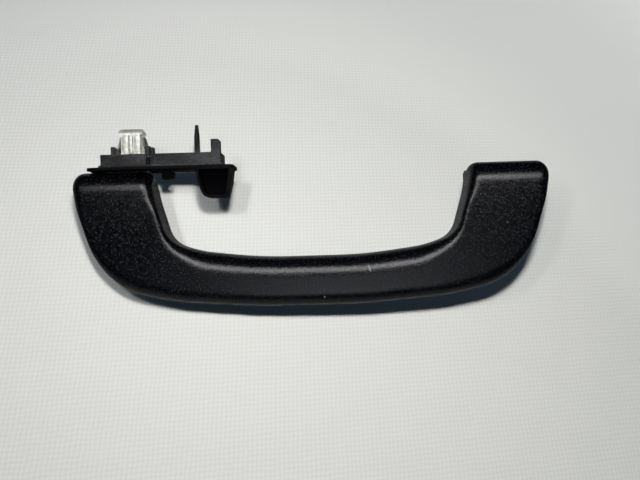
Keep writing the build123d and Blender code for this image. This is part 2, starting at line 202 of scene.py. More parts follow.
# The room is dim, and dimmer still where the plastic mirrors it. The camera sees it pale round the table
quiet = add(tree, "ShaderNodeMapRange", {
    "Value": ray.outputs["Is Glossy Ray"], "To Min": 1.0, "To Max": 0.35})
dim = add(tree, "ShaderNodeBackground", {"Color": colour("#2a343e"), "Strength": quiet})
pale = add(tree, "ShaderNodeBackground", {"Color": colour("#dfdfda"), "Strength": 1.0})
sky = add(tree, "ShaderNodeMixShader", {0: ray.outputs["Is Camera Ray"], 1: dim, 2: pale})
add(tree, "ShaderNodeOutputWorld", {"Surface": sky})


# The grip's front shell is an injection moulding of black ABS with a spark-eroded grain. Its face is
# crowned, its ends are round about the hinge, and it wraps over the ends to meet the back cover.
# Its heights are given from the hinge, and its sideways places from the handle's middle.
hinge_z, middle_x = -0.0185, 0.0738
grip_half, inner_half = 0.11804, 0.0787    # half the length over the arms, and between them
end_radius, end_round = 0.0104, 0.005      # the ends, and the edge rounding there and on the back
arm_round, arm_fade = 0.0028, 0.012        # the rounding narrows to this from the hinge to so far under it
bar_round, foot_round = 0.012, 0.008       # the crown of the bar, in from its upper and its lower edge
arm_run, bend_run = 0.030, 0.034           # the upper crown widens after this run, through the bend
foot_start, foot_run = 0.026, 0.026        # and the lower one this far under the hinge, over so much height
crown_fullness = 0.4                       # makes the upper crown a little fuller than a circle's arc
front_bow, back_bow = 3.807, 1.730         # twice the radius of the slow curve down the face and the back
parting_y, edge_spare = 0.00185, 0.0004    # the shell's edge, 0.15 mm before the cover, and its flat rim
shell_foot = -0.009                        # the shell's lower edge at the back of an end
bend_z = -0.03                             # an arm's sides run down to the bend here
shell_wall = 0.0024


def rounded(points, radii, step=0.0012):
    """Points along straight runs joined by tangent arcs."""
    line = [Vector(points[0])]
    for k in range(1, len(points) - 1):
        corner = Vector(points[k])
        back = (Vector(points[k - 1]) - corner).normalized()
        on = (Vector(points[k + 1]) - corner).normalized()
        half = back.angle(on) / 2
        radius = radii[k - 1]
        centre = corner + (back + on).normalized() * radius / math.sin(half)
        start = corner + back * radius / math.tan(half) - centre
        stop = corner + on * radius / math.tan(half) - centre
        turn = start.angle_signed(stop)
        count = max(2, int(abs(turn) * radius / step))
        for i in range(count + 1):
            line.append(centre + start @ Matrix.Rotation(turn * i / count, 2))
    line.append(Vector(points[-1]))
    return line


def left_line(corners, radii):
    """The left half of a path that is mirrored about x = 0, down to the middle of the bar."""
    path = corners + [(-x, z) for x, z in reversed(corners)]
    line = [p for p in rounded(path, radii + radii[::-1]) if p.x < 0]
    line.append(Vector((0.0, line[-1].y)))
    return line


class Track:
    """A line that can be read by its length."""
    def __init__(self, line):
        self.points = np.array([tuple(p) for p in line])
        steps = np.hypot(*(self.points[1:] - self.points[:-1]).T)
        self.length = np.concatenate([[0.0], np.cumsum(steps)])

    def at(self, length):
        """The point at a length along the line."""
        return np.array([np.interp(length, self.length, self.points[:, k]) for k in (0, 1)])

    def nearest(self, point):
        """Distance to the line, and how far along it the nearest point lies."""
        a, b = self.points[:-1], self.points[1:]
        way = b - a
        t = np.clip(((point - a) * way).sum(1) / np.maximum((way ** 2).sum(1), 1e-12), 0, 1)
        gaps = np.hypot(*(a + way * t[:, None] - point).T)
        k = gaps.argmin()
        return gaps[k], self.length[k] + t[k] * np.hypot(*way[k])

    def x_at(self, z):
        """Where the line passes a height, on an arm's side."""
        high = self.points[:, 1] > bend_z
        return np.interp(-z, -self.points[high, 1], self.points[high, 0])


over = end_radius + 0.002    # both lines start above the round ends
outside = Track(left_line(
    [(-grip_half, over), (-grip_half + 0.0003, -0.0008), (-grip_half + 0.0090, -0.0289),
     (-grip_half + 0.0197, -0.0485), (-grip_half + 0.0499, -0.0555), (-grip_half + 0.0922, -0.0587)],
    [0.057, 0.068, 0.033, 0.125, 0.244]))
inside = Track(left_line(
    [(-inner_half, over), (-inner_half, 0.0013), (-inner_half + 0.0078, -0.0252),
     (-inner_half + 0.0212, -0.0303), (-inner_half + 0.0527, -0.0342)],
    [0.062, 0.0135, 0.058, 0.228]))


def smooth_step(t):
    """From 0 to 1 with a soft start and end."""
    t = min(1.0, max(0.0, t))
    return t * t * (3 - 2 * t)


def edge_drop(distance, reach, power):
    """How far the surface falls back at a distance in from the edge."""
    if distance >= reach:
        return 0.0
    q = 1 - max(0.0, distance) / reach
    return reach * (1 - (1 - q ** power) ** (1 / power))


across = 44    # steps across a row, closer together near both edges
spread = [0.5 - 0.5 * math.cos(math.pi * k / across) for k in range(across + 1)]


def front_row(start, stop):
    """Points of the front face, along a line from the outer to the inner edge."""
    side = end_round + (arm_round - end_round) * smooth_step(-min(start[1], stop[1]) / arm_fade)
    row = []
    for t in spread:
        spot = start + (stop - start) * t
        base = -end_radius + spot[1] ** 2 / front_bow
        room = parting_y - base - edge_spare
        gap, along = inside.nearest(spot)
        above = smooth_step((along - arm_run) / bend_run)
        drop = edge_drop(gap, min(side + (bar_round - side) * above, room), 2 + crown_fullness * above)
        gap, along = outside.nearest(spot)
        below = smooth_step((-outside.at(along)[1] - foot_start) / foot_run)
        drop += edge_drop(gap, min(side + (foot_round - side) * below, room), 2)
        row.append((spot[0], max(base + drop, -end_radius), spot[1]))
    return row


def end_row(turn):
    """Points over the round end, turned from the front to the back about the hinge."""
    z = end_radius * math.sin(turn)
    left, right = outside.x_at(z), inside.x_at(z)
    row = []
    for t in spread:
        x = left + (right - left) * t
        radius = end_radius - edge_drop(x - left, end_round, 2.0) - edge_drop(right - x, end_round, 2.0)
        row.append((x, -radius * math.cos(turn), radius * math.sin(turn)))
    return row


def back_row(z):
    """Points of the back of an end under the hinge."""
    left, right = outside.x_at(z), inside.x_at(z)
    base = end_radius - z ** 2 / back_bow
    row = []
    for t in spread:
        x = left + (right - left) * t
        drop = edge_drop(x - left, end_round, 2.0) + edge_drop(right - x, end_round, 2.0)
        row.append((x, base - drop, z))
    return row


level_steps, end_steps = 6, 24
levels = [shell_foot * k / level_steps for k in range(1, level_steps + 1)]
end_turns = [math.pi * k / end_steps for k in range(end_steps + 1)]
rows = [back_row(z) for z in reversed(levels)] + [end_row(math.pi - turn) for turn in end_turns]
for z in levels:
    rows.append(front_row(np.array((outside.x_at(z), z)), np.array((inside.x_at(z), z))))
top_row, foot_row = level_steps + end_steps // 2, len(rows) - 1
# Points of the outer and the inner edge that face each other. The rows between them are spread evenly
facing_points = [
    ((outside.x_at(shell_foot), shell_foot), (inside.x_at(shell_foot), shell_foot)),
    ((-0.1092, -0.0289), (-0.0737, -0.0180)), ((-0.0985, -0.0485), (-0.0709, -0.0252)),
    ((-0.0683, -0.0555), (-0.0575, -0.0303)), ((-0.0260, -0.0587), (-0.0260, -0.0342)),
    ((0.0, -0.0587), (0.0, -0.0342))]
outer_stops = [outside.nearest(outer)[1] for outer, inner in facing_points]
inner_stops = [inside.nearest(inner)[1] for outer, inner in facing_points]
for k, count in enumerate((14, 14, 18, 24, 14)):
    for step in range(1, count + 1):
        rows.append(front_row(
            outside.at(outer_stops[k] + (outer_stops[k + 1] - outer_stops[k]) * (step / count)),
            inside.at(inner_stops[k] + (inner_stops[k + 1] - inner_stops[k]) * (step / count))))

skin = bmesh.new()
grid = [[skin.verts.new(p) for p in row] for row in rows]
for upper, lower in zip(grid[:-1], grid[1:]):
    for k in range(across):
        skin.faces.new((upper[k], lower[k], lower[k + 1], upper[k + 1]))


def lace(strips, flip):
    """Faces between neighbouring strips of corners, turned round for the inner side."""
    for upper, lower in zip(strips[:-1], strips[1:]):
        for c in range(len(upper) - 1):
            quad = (upper[c], upper[c + 1], lower[c + 1], lower[c])
            skin.faces.new(quad[::-1] if flip else quad)


# The side walls. At a round end they go across to the same height at the back, in thirds up to the parting
# and thirds beyond it. Below it they go back to the parting, a hair before the cover, which leaves a line
for edge, flip in ((0, False), (-1, True)):
    strips = []
    for j in range(top_row, foot_row + 1):
        near, far = grid[j][edge].co, grid[2 * top_row - j][edge].co
        seam = min((parting_y - near.y) / max(far.y - near.y, 1e-6), 0.8)
        stops = [seam * c / 3 for c in range(4)] + [seam + (1 - seam) * c / 3 for c in (1, 2, 3)]
        strips.append([skin.verts.new(near.lerp(far, t)) for t in stops])
    lace(strips, flip)
    strips = []
    for row in grid[foot_row:]:
        near = row[edge].co
        strips.append([skin.verts.new(near + Vector((0, (parting_y - near.y) * c / 3, 0))) for c in range(4)])
    lace(strips, flip)
bmesh.ops.remove_doubles(skin, verts=skin.verts, dist=1e-6)
half_shell = bpy.data.meshes.new("half_shell")
skin.to_mesh(half_shell)
skin.free()


def joined(name, parts, merge=1e-6):
    """One mesh from (mesh, matrix) parts. Those that the matrix mirrors have their faces turned round."""
    out = bmesh.new()
    for mesh, matrix in parts:
        piece = bmesh.new()
        piece.from_mesh(mesh)
        piece.transform(matrix)
        if matrix.determinant() < 0:
            bmesh.ops.reverse_faces(piece, faces=piece.faces)
        moved = bpy.data.meshes.new("part")
        piece.to_mesh(moved)
        piece.free()
        out.from_mesh(moved)
        bpy.data.meshes.remove(moved)
    bmesh.ops.remove_doubles(out, verts=out.verts, dist=merge)
    made = bpy.data.meshes.new(name)
    out.to_mesh(made)
    out.free()
    return made


def settle(piece, angle=40):
    """The piece's modifiers made final, and its shading smooth up to an angle."""
    bpy.context.view_layer.update()
    mesh = bpy.data.meshes.new_from_object(piece.evaluated_get(bpy.context.evaluated_depsgraph_get()))
    piece.modifiers.clear()
    piece.data = mesh
    smooth_up_to(mesh, angle)


def thicken(skin_piece, wall):
    """A skin given its wall, inwards."""
    solid = skin_piece.modifiers.new("wall", "SOLIDIFY")
    solid.thickness, solid.offset, solid.use_even_offset = wall, -1.0, False
    settle(skin_piece)


def cut_block(piece, x0, x1, y0, y1, z0, z1, angle=40):
    """A plain block cut out of a piece."""
    corners = [(x, y, z) for x in (x0, x1) for y in (y0, y1) for z in (z0, z1)]
    faces = [(0, 1, 3, 2), (4, 6, 7, 5), (0, 4, 5, 1), (2, 3, 7, 6), (0, 2, 6, 4), (1, 5, 7, 3)]
    cutter = new_piece("cutter", corners, faces)
    cut = piece.modifiers.new("cut", "BOOLEAN")
    cut.operation, cut.solver, cut.object = "DIFFERENCE", "EXACT", cutter
    settle(piece, angle)
    bpy.data.objects.remove(cutter)


to_hinge = Matrix.Translation((middle_x, 0, hinge_z))
mirror_x = Matrix.Scale(-1, 4, (1, 0, 0))
shell = placed("grip_front_skin", joined("grip_front_skin", [
    (half_shell, to_hinge), (half_shell, to_hinge @ mirror_x)]))
thicken(shell, shell_wall)
# A pocket in each end gives the bracket's core room to turn. It is cut from well outside the shell
clip_line = 0.0893    # from the handle's middle
pocket_out, pocket_in, pocket_front, pocket_foot, past = 0.0143, 0.0082, -0.0008, -0.0053, 0.02
for side in (-1, 1):
    x0, x1 = sorted(middle_x + side * x for x in (clip_line + pocket_out, clip_line - pocket_in))
    cut_block(shell, x0, x1, pocket_front, past, hinge_z + pocket_foot, hinge_z + past)
# Two ribs in each end, one beside each wall of the pocket, carry the pin
rib_radius, rib_steps = end_radius - shell_wall, 20
rib_outer, rib_inner = 0.0173, 0.0095    # their far faces, from the clip's line
rib_outline = [(-rib_radius, hinge_z + shell_foot)]
for k in range(rib_steps + 1):
    turn = math.pi * k / rib_steps
    rib_outline.append((-rib_radius * math.cos(turn), hinge_z + rib_radius * math.sin(turn)))
rib_outline.append((rib_radius, hinge_z + shell_foot))
count = len(rib_outline)
rib_faces = [tuple(range(count))[::-1], tuple(range(count, 2 * count))]
rib_faces += [(k, (k + 1) % count, count + (k + 1) % count, count + k) for k in range(count)]
parts = [(shell.data, Matrix())]
for inwards in ((-rib_outer, -pocket_out), (pocket_in, rib_inner)):
    for side in (-1, 1):
        x0, x1 = sorted(middle_x + side * (clip_line - x) for x in inwards)
        rib = bpy.data.meshes.new("rib")
        rib.from_pydata([(x, y, z) for x in (x0, x1) for y, z in rib_outline], [], rib_faces)
        parts.append((rib, Matrix()))
shell.data = joined("grip_front_skin", parts, merge=1e-7)
smooth_up_to(shell.data, 40)

grain, tree = new_material("moulded_abs_spark_grain")
place = add(tree, "ShaderNodeTexCoord").outputs["Object"]
# The grain is about 0.3 mm in the tool. It is drawn at 0.7 mm, which is a scale of 1420, so that it just
# shows. Its floor is rougher and a little paler than its worn tops
fine = add(tree, "ShaderNodeTexNoise", {"Vector": place, "Scale": 1420.0, "Detail": 2.0, "Roughness": 0.6})
bump = add(tree, "ShaderNodeBump", {"Height": fine, "Strength": 0.5, "Distance": 0.00028})
grain_floor = add(tree, "ShaderNodeMapRange", {"Value": fine, "From Min": 0.47, "From Max": 0.65})
face_y, face_deep = -0.009, 0.006    # where the marks lie in depth


def marks(tree, place, spots):
    """Ovals of wear, each with its x, z, turn in degrees, half length, half width and amount."""
    total = 0.0
    for x, z, turn, length, width, amount in spots:
        local = add(tree, "ShaderNodeMapping", {
            "Vector": place, "Location": (x, face_y, z), "Rotation": (0.0, math.radians(-turn), 0.0),
            "Scale": (length, face_deep, width)}, vector_type="TEXTURE")
        away = add(tree, "ShaderNodeVectorMath", {0: local}, operation="LENGTH").outputs["Value"]
        oval = add(tree, "ShaderNodeMapRange", {
            "Value": away, "From Min": 1.0, "From Max": 0.4, "To Max": amount})
        total = add(tree, "ShaderNodeMath", {0: total, 1: oval}, operation="MAXIMUM")
    return total


# The right arm has a shallow scratch and the left arm a longer one in two parts, where the grain is rubbed
# flat. The bar has a pale scuff and a speck, and the right arm has a second speck
scratches = marks(tree, place, ((0.16286, -0.03057, -68, 0.0030, 0.0005, 1.0),
                                (-0.00662, -0.03300, -84, 0.0045, 0.0006, 1.0),
                                (-0.00473, -0.03989, -65, 0.0044, 0.0006, 1.0)))
pale_marks = marks(tree, place, ((0.10137, -0.05955, -72, 0.0023, 0.0008, 0.55),
                                 (0.07894, -0.07282, -53, 0.0006, 0.0005, 0.8),
                                 (0.16897, -0.03880, -46, 0.0006, 0.0004, 0.5)))
unworn = add(tree, "ShaderNodeMath", {0: grain_floor, 1: scratches}, operation="SUBTRACT", use_clamp=True)
rough = add(tree, "ShaderNodeMapRange", {"Value": unworn, "To Min": 0.17, "To Max": 0.28})
black = add(tree, "ShaderNodeMix", {"Factor": unworn, 6: colour("#000000"), 7: colour("#111216")},
            data_type="RGBA")
paint = add(tree, "ShaderNodeMix", {"Factor": pale_marks, 6: black.outputs[2], 7: colour("#6f7071")},
            data_type="RGBA")
plastic = add(tree, "ShaderNodeBsdfPrincipled", {
    "Base Color": paint.outputs[2], "IOR": 1.52, "Roughness": rough, "Normal": bump})
add(tree, "ShaderNodeOutputMaterial", {"Surface": plastic})
shell.data.materials.clear()
shell.data.materials.append(grain)
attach(shell, "grip")
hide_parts("grip_front_shell")


# The grip's back cover is a second moulding in the same grained ABS. Four screws hold it on from behind,
# and its edge meets the front shell's along the parting line.
def finish_node(name, material):
    """A CAD node's own mesh, in a better material."""
    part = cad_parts[name]
    part.data.materials.clear()
    part.data.materials.append(material)


finish_node("grip_back_cover", grain)


# The left bracket's core is moulded in glass-filled nylon, greyer than the grip and a little mottled.
# The clip, the spike, the guards and the hooked block stand on its deck, and two lugs carry the pin.
def softened(node, name, width):
    """A copy of a CAD node with its sharp edges rounded, as a moulding's are."""
    piece = placed(name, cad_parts[node].data.copy())
    loose = bmesh.new()
    loose.from_mesh(piece.data)
    bmesh.ops.remove_doubles(loose, verts=loose.verts, dist=2e-6)
    bmesh.ops.dissolve_limit(loose, angle_limit=math.radians(1.0), verts=loose.verts, edges=loose.edges)
    loose.to_mesh(piece.data)
    loose.free()
    bevel = piece.modifiers.new("soft_edges", "BEVEL")
    bevel.width = width
    bevel.segments = 2
    bevel.limit_method = "ANGLE"
    bevel.angle_limit = math.radians(32)
    settle(piece, 35)
    piece.data.materials.clear()
    return piece


core_edge = 0.00022    # rounding
core_nylon, tree = new_material("glass_filled_nylon")
place = add(tree, "ShaderNodeTexCoord").outputs["Object"]
# The glass is about 0.3 mm long and shows as paler flecks where it lies near the skin. They are drawn at
# 1.7 by 0.8 mm so that they show, in clouds of about 5 mm where the melt has flowed
long = add(tree, "ShaderNodeMapping", {"Vector": place, "Scale": (0.45, 1.0, 1.0)})
glass = add(tree, "ShaderNodeTexNoise", {"Vector": long, "Scale": 1300.0, "Detail": 2.0})
flow = add(tree, "ShaderNodeTexNoise", {"Vector": long, "Scale": 190.0, "Detail": 3.0})
mixed = add(tree, "ShaderNodeMath", {0: glass, 1: flow}, operation="ADD")
tone = add(tree, "ShaderNodeMapRange", {"Value": mixed, "From Min": 0.9, "From Max": 1.14})
paint = add(tree, "ShaderNodeMix", {"Factor": tone, 6: colour("#08090a"), 7: colour("#27282a")},
            data_type="RGBA")
relief = add(tree, "ShaderNodeBump", {"Height": glass, "Strength": 1.0, "Distance": 0.0002})
plastic = add(tree, "ShaderNodeBsdfPrincipled", {
    "Base Color": paint.outputs[2], "Roughness": 0.58, "IOR": 1.5, "Normal": relief})
add(tree, "ShaderNodeOutputMaterial", {"Surface": plastic})
left_core = softened("left_bracket_core", "left_core_moulding", core_edge)
left_core.data.materials.append(core_nylon)
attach(left_core, "left_bracket")
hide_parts("left_bracket_core")


# The right bracket's core is the same moulding, shorter and plain. It is folded flat behind the arm, where
# its spring holds it, and only the end of it shows past the arm's inner side.
right_core = softened("right_bracket_core", "right_core_moulding", core_edge)
right_core.data.materials.append(core_nylon)
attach(right_core, "right_bracket")
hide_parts("right_bracket_core")


# The trim plates are thin black ABS with a finer, duller grain than the grip's. The left one carries the
# coat hook, a hollow open to the front. Its inside gets a darker, rougher and less shiny finish, which is
# painted shade.
def dull_abs(name, base, roughness, specular):
    """Black ABS with an etched grain. It is about 0.1 mm, and drawn at 0.45 mm so that it shows."""
    material, tree = new_material(name)
    place = add(tree, "ShaderNodeTexCoord").outputs["Object"]
    etch = add(tree, "ShaderNodeTexNoise", {"Vector": place, "Scale": 2200.0, "Detail": 1.0})
    relief = add(tree, "ShaderNodeBump", {"Height": etch, "Strength": 0.8, "Distance": 0.0002})
    plastic = add(tree, "ShaderNodeBsdfPrincipled", {
        "Base Color": colour(base), "Roughness": roughness, "IOR": 1.5, "Specular IOR Level": specular,
        "Normal": relief})
    add(tree, "ShaderNodeOutputMaterial", {"Surface": plastic})
    return material


plate_edge = 0.00025    # rounding
trim_abs = dull_abs("etched_black_abs", "#030304", 0.65, 0.12)
# A darker, rougher and less shiny copy of the plate's finish: painted shade for the inside of the hook
hook_painted_shade = dull_abs("black_abs_painted_shade_inside_hook", "#020203", 0.8, 0.08)
left_plate = softened("left_trim_plate", "left_plate_moulding", plate_edge)
left_plate.data.materials.append(trim_abs)
left_plate.data.materials.append(hook_painted_shade)
# The painted shade goes on the hollow's walls, which lie a little inside the hook's outer faces. The tip's
# underside and the hook's back lie there too, but look down and backwards, and keep the plate's own finish
hollow_left, hollow_right, hollow_low, hollow_high, hollow_front = 0.0179, 0.0342, -0.0219, -0.0071, -0.0079
tip_top = -0.0158
for face in left_plate.data.polygons:
    x, y, z = face.center
    in_shaded_hollow = hollow_left < x < hollow_right and hollow_low < z < hollow_high and y > hollow_front
    under_tip = face.normal.z < -0.3 and z < tip_top
    at_back = face.normal.y > 0.5
    if in_shaded_hollow and not under_tip and not at_back:
        face.material_index = 1
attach(left_plate, "left_bracket")
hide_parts("left_trim_plate")
right_plate = softened("right_trim_plate", "right_plate_moulding", plate_edge)
right_plate.data.materials.append(trim_abs)
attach(right_plate, "right_bracket")
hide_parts("right_trim_plate")


# Each bracket hangs in the roof by a clip of 0.8 mm spring steel in a pale zinc-flake coat. It is bent
# over like a staple, pressed with a rib and two pads in front, and its wings spread to hold the panel.
strip_thickness = 0.0008
clip_half, clip_face, clip_rise, clip_foot = 0.0048, 0.0034, 0.0135, -0.0054
ear_half, ear_low, neck_low, top_half = 0.0061, 0.0106, 0.0101, 0.0050
wing_top, wing_foot, wing_half_top, wing_half_foot = 0.0090, 0.0021, 0.0052, 0.0069
wing_front, wing_slant, wing_tuck = -0.0022, 0.0006, 0.0003
rib_x, rib_half, rib_low, rib_high, rib_stand = 0.0001, 0.0013, 0.0004, 0.0106, 0.0009
pad_sides, pad_low, pad_high, pad_stand = ((-0.0043, -0.0016), (0.0018, 0.0043)), 0.0014, 0.0095, 0.0002
dimple_x, dimple_z, dimple_radius = (-0.0029, 0.0032), 0.0008, 0.0005
press_fade, pad_fade = 0.0008, 0.0010    # the slopes beside the pressed forms, and over and under the pads


def clip_width(z, behind):
    """Half the strip's width at a height."""
    if z > ear_low:
        return ear_half + (top_half - ear_half) * ((z - ear_low) / (clip_rise - ear_low)) ** 2
    if z > neck_low:
        return clip_half + (ear_half - clip_half) * (z - neck_low) / (ear_low - neck_low)
    if behind and z > wing_foot:
        up = min(1, (z - wing_foot) / (wing_top - wing_foot))
        return wing_half_foot + (wing_half_top - wing_half_foot) * up
    return clip_half


def between(value, low, high, fade):
    """1 well between two limits and 0 outside them, with a slope at each."""
    return smooth_step((value - low) / fade) * smooth_step((high - value) / fade)


def clip_press(x, z):
    """How far the front face is pressed out."""
    rib_side = (x - rib_x) / rib_half
    out = rib_stand * between(z, rib_low, rib_high, press_fade) * math.sqrt(max(0.0, 1 - rib_side ** 2))
    for low, high in pad_sides:
        out += pad_stand * between(x, low, high, press_fade) * between(z, pad_low, pad_high, pad_fade)
    for spot in dimple_x:
        away = math.hypot(x - spot, z - dimple_z) / dimple_radius
        out += dimple_radius * math.sqrt(max(0.0, 1 - away * away))
    return out


def clip_strip():
    """The bent strip's outer skin, as points and faces."""
    bend = clip_rise - clip_face
    front_steps, bend_steps, back_steps, steps_across = 60, 24, 36, 48
    path = [(-clip_face, clip_foot + (bend - clip_foot) * k / front_steps, -1) for k in range(front_steps)]
    for k in range(bend_steps + 1):
        turn = math.pi * k / bend_steps
        path.append((-clip_face * math.cos(turn), bend + clip_face * math.sin(turn), 0))
    path += [(clip_face, bend + (clip_foot - bend) * k / back_steps, 1) for k in range(1, back_steps + 1)]
    verts, faces = [], []
    for y, z, leg in path:
        half = clip_width(z, leg == 1)
        for c in range(steps_across + 1):
            x = half * (2 * c / steps_across - 1)
            verts.append((x, y - (clip_press(x, z) if leg == -1 else 0), z))
    for r in range(len(path) - 1):
        for c in range(steps_across):
            a = r * (steps_across + 1) + c
            faces.append((a, a + 1, a + steps_across + 2, a + steps_across + 1))
    return verts, faces


def clip_wing(side):
    """One wing, bent forward from the back leg, with a little spring in it."""
    steps_down, steps_across = 12, 10
    verts, faces = [], []
    for r in range(steps_down + 1):
        down = r / steps_down
        z = wing_top + (wing_foot - wing_top) * down
        half = wing_half_top + (wing_half_foot - wing_half_top) * down
        front = wing_front + wing_slant * (1 - down)
        for c in range(steps_across + 1):
            y = clip_face + (front - clip_face) * c / steps_across
            tuck = wing_tuck * (c / steps_across) ** 2 * math.sin(math.pi * down)
            verts.append((side * (half - tuck), y, z))
    for r in range(steps_down):
        for c in range(steps_across):
            a = r * (steps_across + 1) + c
            quad = (a, a + steps_across + 1, a + steps_across + 2, a + 1)
            faces.append(quad if side > 0 else quad[::-1])
    return verts, faces


def spring_clip(name, place):
    """One clip, drawn from its own clip line and set in place. Its wings take the second material, a darker
    copy of the coat that is painted shade.
    """
    parts = []
    for verts, faces in (clip_strip(), clip_wing(-1), clip_wing(1)):
        part = new_piece(name + "_part", verts, faces)
        thicken(part, strip_thickness)
        for face in part.data.polygons:
            face.material_index = min(1, len(parts))
        parts.append(part)
    made = placed(name, joined(name, [(part.data, place) for part in parts], merge=1e-7))
    for part in parts:
        bpy.data.objects.remove(part)
    smooth_up_to(made.data, 32)
    return made


def zinc_coat(name, low, high):
    """A zinc-flake coat. The flakes dry flat, to a soft metallic grey with faint runs of about 2 mm."""
    material, tree = new_material(name)
    place = add(tree, "ShaderNodeTexCoord").outputs["Object"]
    flake = add(tree, "ShaderNodeTexNoise", {
        "Vector": place, "Scale": 480.0, "Detail": 4.0, "Roughness": 0.6})
    tone = add(tree, "ShaderNodeMapRange", {"Value": flake, "From Min": 0.35, "From Max": 0.65})
    paint = add(tree, "ShaderNodeMix", {"Factor": tone, 6: colour(low), 7: colour(high)}, data_type="RGBA")
    gloss = add(tree, "ShaderNodeMapRange", {
        "Value": flake, "From Min": 0.35, "From Max": 0.65, "To Min": 0.42, "To Max": 0.3})
    coat = add(tree, "ShaderNodeBsdfPrincipled", {
        "Base Color": paint.outputs[2], "Metallic": 0.6, "Roughness": gloss})
    add(tree, "ShaderNodeOutputMaterial", {"Surface": coat})
    return material


zinc = zinc_coat("zinc_flake_coated_spring_steel", "#b0b0a7", "#e4e4da")
# The wings get a darker copy of the coat. It is painted shade for their sides, which face away from the light
shaded_wing_zinc = zinc_coat("zinc_flake_painted_shade_on_wings", "#4e4e4a", "#77776f")
clip_left, clip_right = -0.0155, 0.1631
to_left = Matrix.Translation((clip_left, 0, 0))
# The right bracket is mirrored, and swung a quarter turn back about the hinge
to_right = Matrix(((-1, 0, 0, clip_right), (0, 0, 1, -hinge_z), (0, -1, 0, hinge_z), (0, 0, 0, 1)))
# The right clip is pushed 0.6 mm deeper into its core
pushed_in = Matrix.Translation((0, 0, -0.0006))
for name, place, body in (("left_clip_spring", to_left, "left_bracket"),
                          ("right_clip_spring", to_right @ pushed_in, "right_bracket")):
    clip = spring_clip(name, place)
    clip.data.materials.append(zinc)
    clip.data.materials.append(shaded_wing_zinc)
    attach(clip, body)
    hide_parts("left_spring_clip" if body == "left_bracket" else "right_spring_clip")


# Each hinge pin is ground steel with a dark phosphate coat and bare chamfered ends. The grip turns on it
# with its bracket's lugs, and its inner end shows as a small ring on the arm's side.
def plain_steel(name, base, roughness):
    """Turned or drawn steel, whose gloss is a little uneven over about 1 mm."""
    material, tree = new_material(name)
    place = add(tree, "ShaderNodeTexCoord").outputs["Object"]
    uneven = add(tree, "ShaderNodeTexNoise", {"Vector": place, "Scale": 900.0, "Detail": 3.0})
    gloss = add(tree, "ShaderNodeMapRange", {"Value": uneven, "From Min": 0.3, "From Max": 0.7,
                                             "To Min": roughness - 0.06, "To Max": roughness + 0.1})
    metal = add(tree, "ShaderNodeBsdfPrincipled", {
        "Base Color": colour(base), "Metallic": 1.0, "Roughness": gloss})
    add(tree, "ShaderNodeOutputMaterial", {"Surface": metal})
    return material


def face_outwards(mesh):
    """Doubles merged, and faces turned to point outwards."""
    loose = bmesh.new()
    loose.from_mesh(mesh)
    bmesh.ops.remove_doubles(loose, verts=loose.verts, dist=1e-7)
    bmesh.ops.recalc_face_normals(loose, faces=loose.faces)
    loose.to_mesh(mesh)
    loose.free()


def turned(name, profile, at):
    """A piece turned from (along, radius) pairs. The function at gives a place for along, out and up."""
    ring = 40
    angles = [2 * math.pi * k / ring for k in range(ring)]
    verts = [at(along, radius * math.cos(angle), radius * math.sin(angle))
             for along, radius in profile for angle in angles]
    faces = [(r * ring + k, r * ring + (k + 1) % ring, (r + 1) * ring + (k + 1) % ring, (r + 1) * ring + k)
             for r in range(len(profile) - 1) for k in range(ring)]
    piece = new_piece(name, verts, faces, 30)
    face_outwards(piece.data)
    return piece


pin_radius, pin_chamfer, pin_out, pin_in = 0.0015, 0.0003, 0.0173, 0.0113
# An end, by its depth from the pin's end face: it is hollowed by 0.4 mm and chamfered
pin_end = [(0.0004, 0.0), (0.0002, pin_radius * 0.45), (0.0, pin_radius * 0.6),
           (0.0, pin_radius - pin_chamfer), (pin_chamfer, pin_radius)]
pin_profile = [(-pin_out + deep, radius) for deep, radius in pin_end]
pin_profile += [(pin_in - deep, radius) for deep, radius in reversed(pin_end)]
pin_steel = plain_steel("phosphated_steel", "#6d6c69", 0.4)
for name, line, way in (("left_pin", clip_left, 1), ("right_pin", clip_right, -1)):
    hinge_pin = turned(name, pin_profile, lambda along, out, up: (line + way * along, out, hinge_z + up))
    hinge_pin.data.materials.append(pin_steel)
    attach(hinge_pin, "grip")
    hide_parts("left_hinge_pin" if way > 0 else "right_hinge_pin")


# Four pan-head screws of zinc-plated steel hold the cover. One screw is turned as a solid of revolution
# with a slot, and a node tree sets it at the four bosses.
def node_tree(name, sockets):
    """A geometry tree with its group input and output, and named inputs."""
    tree = bpy.data.node_groups.new(name, "GeometryNodeTree")
    tree.interface.new_socket(name="Geometry", in_out="INPUT", socket_type="NodeSocketGeometry")
    tree.interface.new_socket(name="Geometry", in_out="OUTPUT", socket_type="NodeSocketGeometry")
    for label, kind in sockets:
        tree.interface.new_socket(name=label, in_out="INPUT", socket_type=kind)
    return tree, add(tree, "NodeGroupInput")


def grown(name, points, edges, tree, values, angle):
    """A plain mesh piece made by a node tree on a few points, with the tree's inputs set."""
    mesh = bpy.data.meshes.new(name + "_points")
    mesh.from_pydata(points, edges, [])
    seed = placed(name + "_points", mesh)
    maker = seed.modifiers.new("nodes", "NODES")
    maker.node_group = tree
    for item in tree.interface.items_tree:
        if item.in_out == "INPUT" and item.name in values:
            maker[item.identifier] = values[item.name]
    bpy.context.view_layer.update()
    made = bpy.data.meshes.new_from_object(seed.evaluated_get(bpy.context.evaluated_depsgraph_get()))
    bpy.data.objects.remove(seed)
    smooth_up_to(made, angle)
    return placed(name, made)


